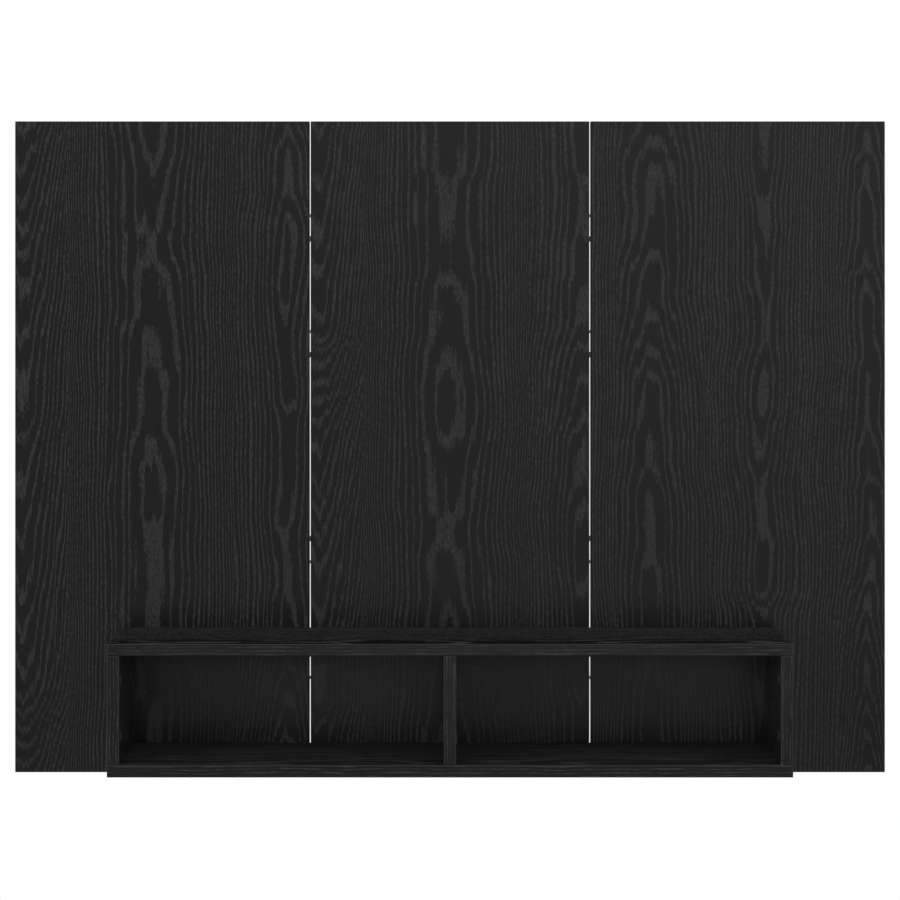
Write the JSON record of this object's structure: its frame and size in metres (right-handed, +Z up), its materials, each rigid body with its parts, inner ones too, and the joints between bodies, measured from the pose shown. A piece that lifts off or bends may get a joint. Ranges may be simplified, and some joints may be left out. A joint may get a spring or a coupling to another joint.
{
  "type": "wall-mounted tv cabinet",
  "caption": "Wall-mounted tv cabinet: upright wood-effect back boards side by side, with an open box shelf near the foot, divided into two bays.",
  "frame": {"origin": "middle of the back face of the middle back board, on the plane of the wall", "axes": "+X along the width to the right of someone facing the cabinet, +Y out of the back face into the wall, +Z up"},
  "size_m": [1.2, 0.235, 0.898],
  "materials": {
    "black_oak_board": "black-brown oak-effect foil with a fine pore, low sheen",
    "dowel_beech": "bare turned beech",
    "bolt_steel": "dark zinc-plated steel",
    "cam_zinc": "dull die-cast zinc",
    "screw_steel": "dark plated steel",
    "hanger_steel": "bright zinc-plated pressed steel"
  },
  "bodies": {
    "root": {"back_panel_left": "black_oak_board", "back_panel_middle": "black_oak_board", "back_panel_right": "black_oak_board", "shelf_top": "black_oak_board", "shelf_bottom": "black_oak_board", "shelf_side_left": "black_oak_board", "shelf_side_right": "black_oak_board", "shelf_divider": "black_oak_board", "panel_bolt_left_1": "bolt_steel", "panel_bolt_left_2": "bolt_steel", "panel_bolt_left_3": "bolt_steel", "panel_bolt_left_4": "bolt_steel", "panel_bolt_right_1": "bolt_steel", "panel_bolt_right_2": "bolt_steel", "panel_bolt_right_3": "bolt_steel", "panel_bolt_right_4": "bolt_steel", "panel_cam_left_1": "cam_zinc", "panel_cam_left_2": "cam_zinc", "panel_cam_left_3": "cam_zinc", "panel_cam_left_4": "cam_zinc", "panel_cam_right_1": "cam_zinc", "panel_cam_right_2": "cam_zinc", "panel_cam_right_3": "cam_zinc", "panel_cam_right_4": "cam_zinc", "panel_dowel_left_1": "dowel_beech", "panel_dowel_left_2": "dowel_beech", "panel_dowel_left_3": "dowel_beech", "panel_dowel_left_4": "dowel_beech", "panel_dowel_right_1": "dowel_beech", "panel_dowel_right_2": "dowel_beech", "panel_dowel_right_3": "dowel_beech", "panel_dowel_right_4": "dowel_beech", "shelf_bolt_left_top": "bolt_steel", "shelf_bolt_left_bottom": "bolt_steel", "shelf_bolt_middle_top": "bolt_steel", "shelf_bolt_middle_bottom": "bolt_steel", "shelf_bolt_right_top": "bolt_steel", "shelf_bolt_right_bottom": "bolt_steel", "shelf_cam_left_top": "cam_zinc", "shelf_cam_left_bottom": "cam_zinc", "shelf_cam_middle_top": "cam_zinc", "shelf_cam_middle_bottom": "cam_zinc", "shelf_cam_right_top": "cam_zinc", "shelf_cam_right_bottom": "cam_zinc", "shelf_dowel_left_top": "dowel_beech", "shelf_dowel_left_bottom": "dowel_beech", "shelf_dowel_middle_top": "dowel_beech", "shelf_dowel_middle_bottom": "dowel_beech", "shelf_dowel_right_top": "dowel_beech", "shelf_dowel_right_bottom": "dowel_beech", "shelf_screw_left_top": "screw_steel", "shelf_screw_left_bottom": "screw_steel", "shelf_screw_middle_top": "screw_steel", "shelf_screw_middle_bottom": "screw_steel", "shelf_screw_right_top": "screw_steel", "shelf_screw_right_bottom": "screw_steel", "hanger_plate_left_top": "hanger_steel", "hanger_plate_left_bottom": "hanger_steel", "hanger_plate_right_top": "hanger_steel", "hanger_plate_right_bottom": "hanger_steel"}
  },
  "joints": []
}
